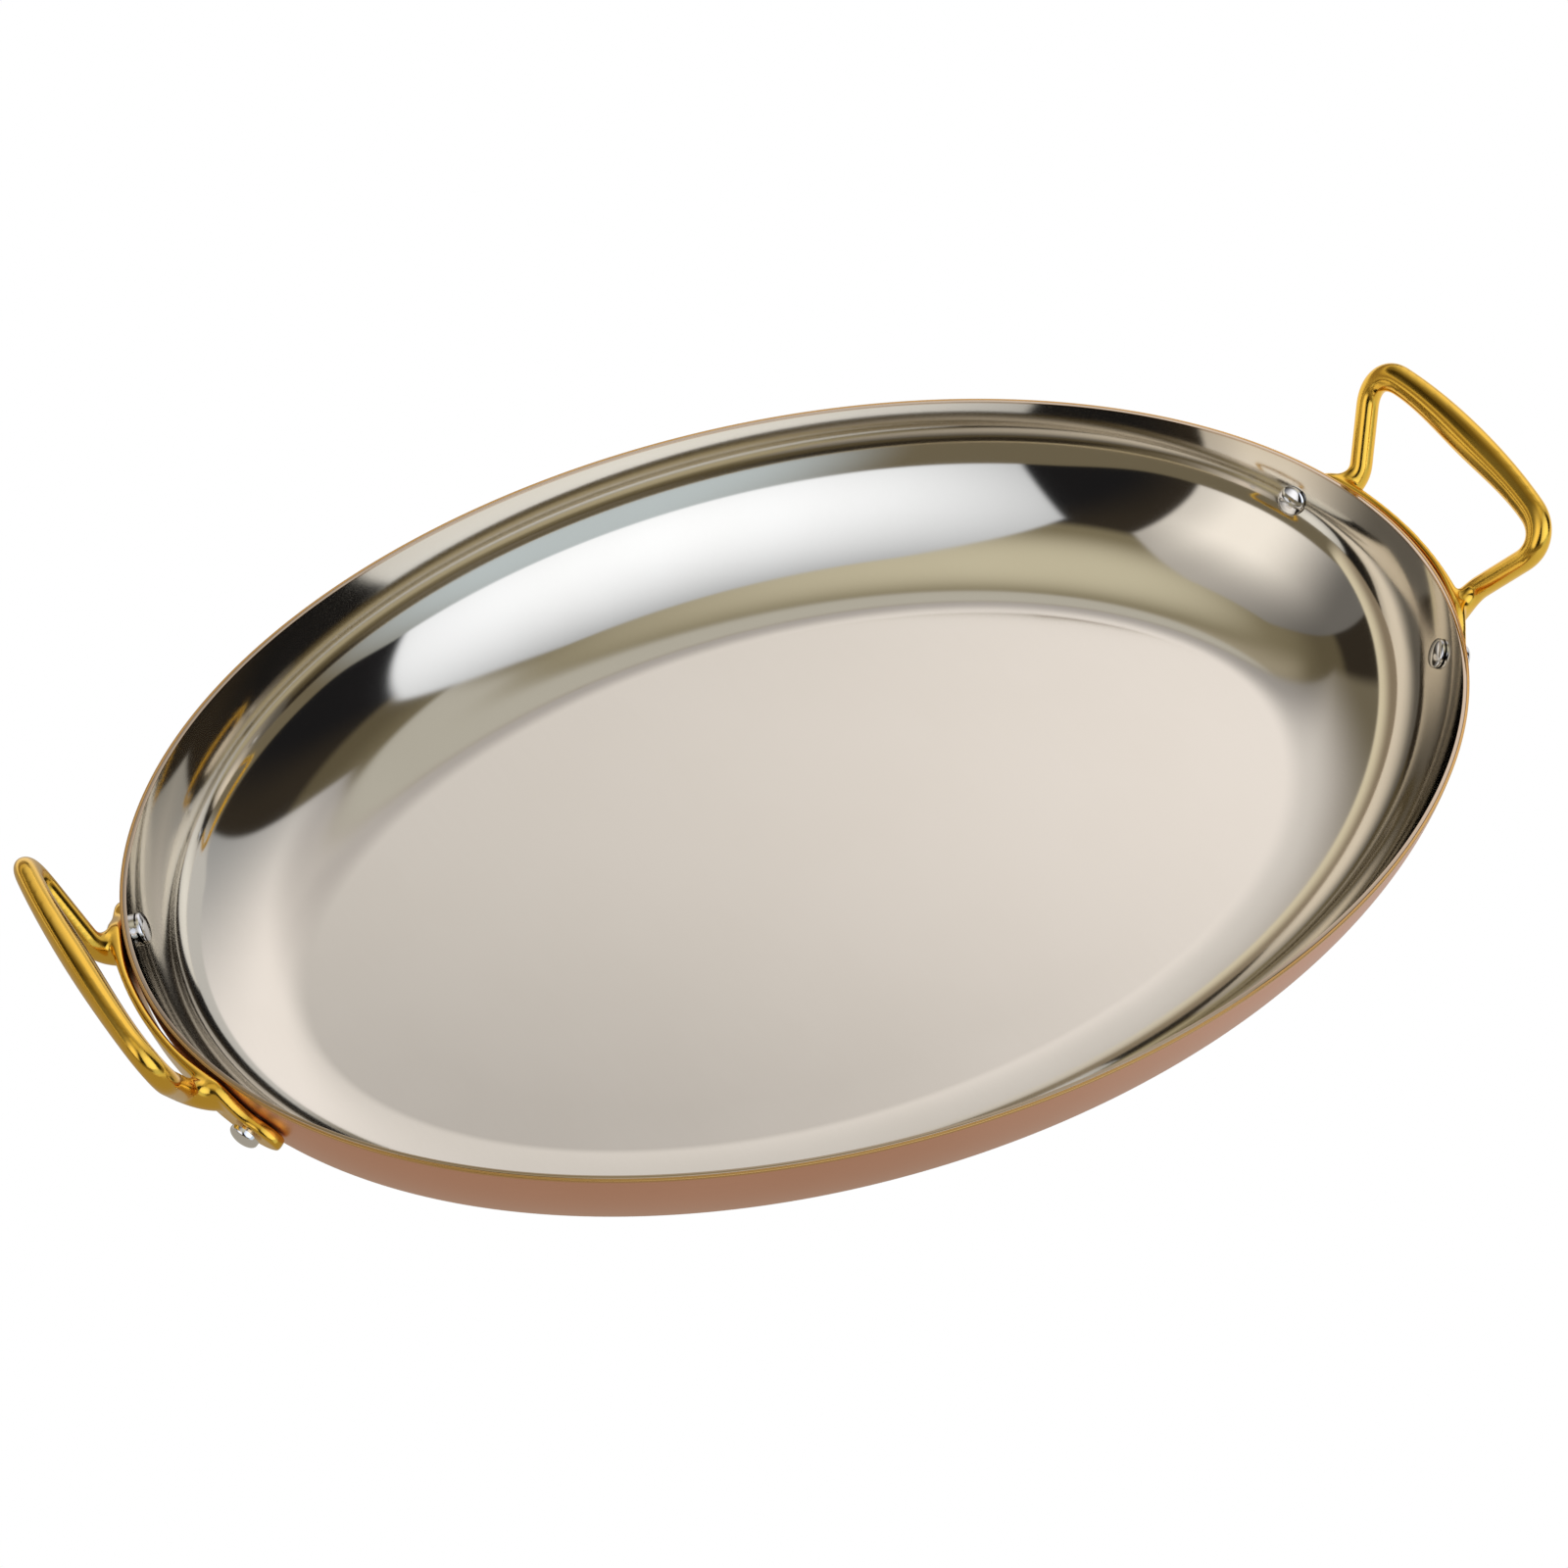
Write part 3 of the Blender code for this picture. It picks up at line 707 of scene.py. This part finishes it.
def inside(outline, centre):
    """1 inside an outline of great circles round a centre, and 0 outside: the product of a soft
    step over each of them."""
    mask = 1.0
    for first, last in zip(outline, outline[1:]):
        mask = edge(first, last, centre).step(-EDGE_SOFTNESS, EDGE_SOFTNESS) * mask
    return mask


def seen(red, green, blue):
    """The light that looks this colour, from 0 to 255, after one reflection in the steel: each
    channel's (value / 255)^2.2 over the steel's own."""
    mirrored = [(c / 255) ** 2.2 / own for c, own in zip((red, green, blue), STEEL_MIRRORED)]
    return (*mirrored, 1.0)


def dimmed(colour, light):
    """A colour times an amount of light."""
    return sky.node("ShaderNodeVectorMath", {0: colour, "Scale": light}, {"operation": "SCALE"})


def lit(light, *colour):
    """A colour as seen in the steel, dimmed by light."""
    return dimmed(seen(*colour)[:3], light)


# The walls lighten towards the ceiling, with two pale ledges, and are dark between the panels.
room = up.step(*WALL_HEIGHTS).blend(seen(88, 79, 60), seen(118, 108, 84))
room = up.step(*CEILING_HEIGHTS).blend(room, seen(190, 180, 152))
ledge = facing(60, 0.30, 0.55) * up.step(*WIDE_LEDGE_BOTTOM) * up.step(*WIDE_LEDGE_TOP, 1.0, 0.0)
room = ledge.blend(room, seen(150, 139, 116))
ledge = facing(25, 0.34, 0.40) * up.step(*BRIGHT_LEDGE_BOTTOM) * up.step(*BRIGHT_LEDGE_TOP, 1.0, 0.0)
room = ledge.blend(room, seen(173, 167, 152))
dark = facing(278, 0.30, 0.55).blend(seen(50, 44, 36), seen(31, 30, 30))
dark_to = facing(225, 0.3, 0.5) * 0.22 + facing(338, 0.5, 0.9) * 0.06 + DARK_TOP
room = above(dark_to, DARK_SOFTNESS).blend(dark, room)

# The front panel is brightest a little under its middle.
light = along(toward(*FRONT_BRIGHTEST)) * FRONT_GAIN - FRONT_LOSS
room = inside(FRONT_PANEL, FRONT_CENTRE).blend(room, lit(light, 253, 253, 252))

# The side panel is dim at its ends, most of all at the one behind, and towards its top.
across = along(toward(282))
light = across.step(-0.62, -0.10, 0.15, 1.0) * across.step(0.02, 0.24, 1.0, 0.70)
light = light * up.step(*SIDE_DIMMING, 1.0, 0.45)
room = inside(SIDE_PANEL, SIDE_CENTRE).blend(room, lit(light, 241, 231, 216))

# The back panel has a sloping top with a dim strip under it. Across, it goes from grey through
# its brightest part to olive.
back_top = along(toward(45)).step(0.15, 0.50, BACK_LOW_TOP, BACK_HIGH_TOP)
back_panel = below(back_top) * inside(BACK_EDGE, BACK_CENTRE) * facing(30, 0.0, 0.10)
across = along(toward(134))
back = across.step(-0.90, -0.05).blend(seen(138, 137, 133), seen(232, 222, 211))
back = across.step(0.06, 0.30).blend(back, seen(204, 196, 186))
back = across.step(0.25, 0.80).blend(back, seen(103, 94, 76))
back = up.step(*BACK_DIMMING).blend(back, dimmed(back, across.step(-0.10, 0.15, 0.60, 0.48)))
room = back_panel.blend(room, back)

# Low down the room is olive and paler towards two sides, and a pale table shows its edge on one.
low = facing(290, 0.80, 0.99).blend(seen(104, 94, 74), seen(182, 189, 188))
low = facing(22, 0.82, 0.90).blend(low, seen(182, 177, 168))
low_to = LOW_TOP - facing(185, 0.6, 0.9) * 0.07 + facing(270, 0.6, 0.9) * 0.025
low_to = low_to - facing(338, 0.88, 0.96) * 0.08
room = below(low_to).blend(room, low)
under = edge(*TABLE_EDGE, TABLE_CENTRE)
table = under.step(-EDGE_SOFTNESS, EDGE_SOFTNESS) * facing(115, 0.60, 0.70)
room = table.blend(room, under.step(*TABLE_DEPTHS).blend(seen(205, 191, 160), seen(128, 113, 92)))

camera_ray = Field(tree, tree.nodes.new("ShaderNodeLightPath").outputs["Is Camera Ray"])
room = camera_ray.blend(room, WHITE)
tree.links.new(room.socket, tree.nodes["Background"].inputs["Color"])
bpy.context.scene.view_settings.view_transform = "Standard"

camera_data = bpy.data.cameras.new("camera")
camera_data.lens = CAMERA_LENS
camera_data.sensor_width = CAMERA_SENSOR
camera_data.clip_start, camera_data.clip_end = CAMERA_CLIP
camera = bpy.data.objects.new("camera", camera_data)
bpy.context.scene.collection.objects.link(camera)
turned = Matrix((CAMERA_RIGHT, [-d for d in CAMERA_DOWN], [-a for a in CAMERA_AHEAD])).transposed()
camera.matrix_world = Matrix.Translation(CAMERA_PLACE) @ turned.to_4x4()
bpy.context.scene.camera = camera
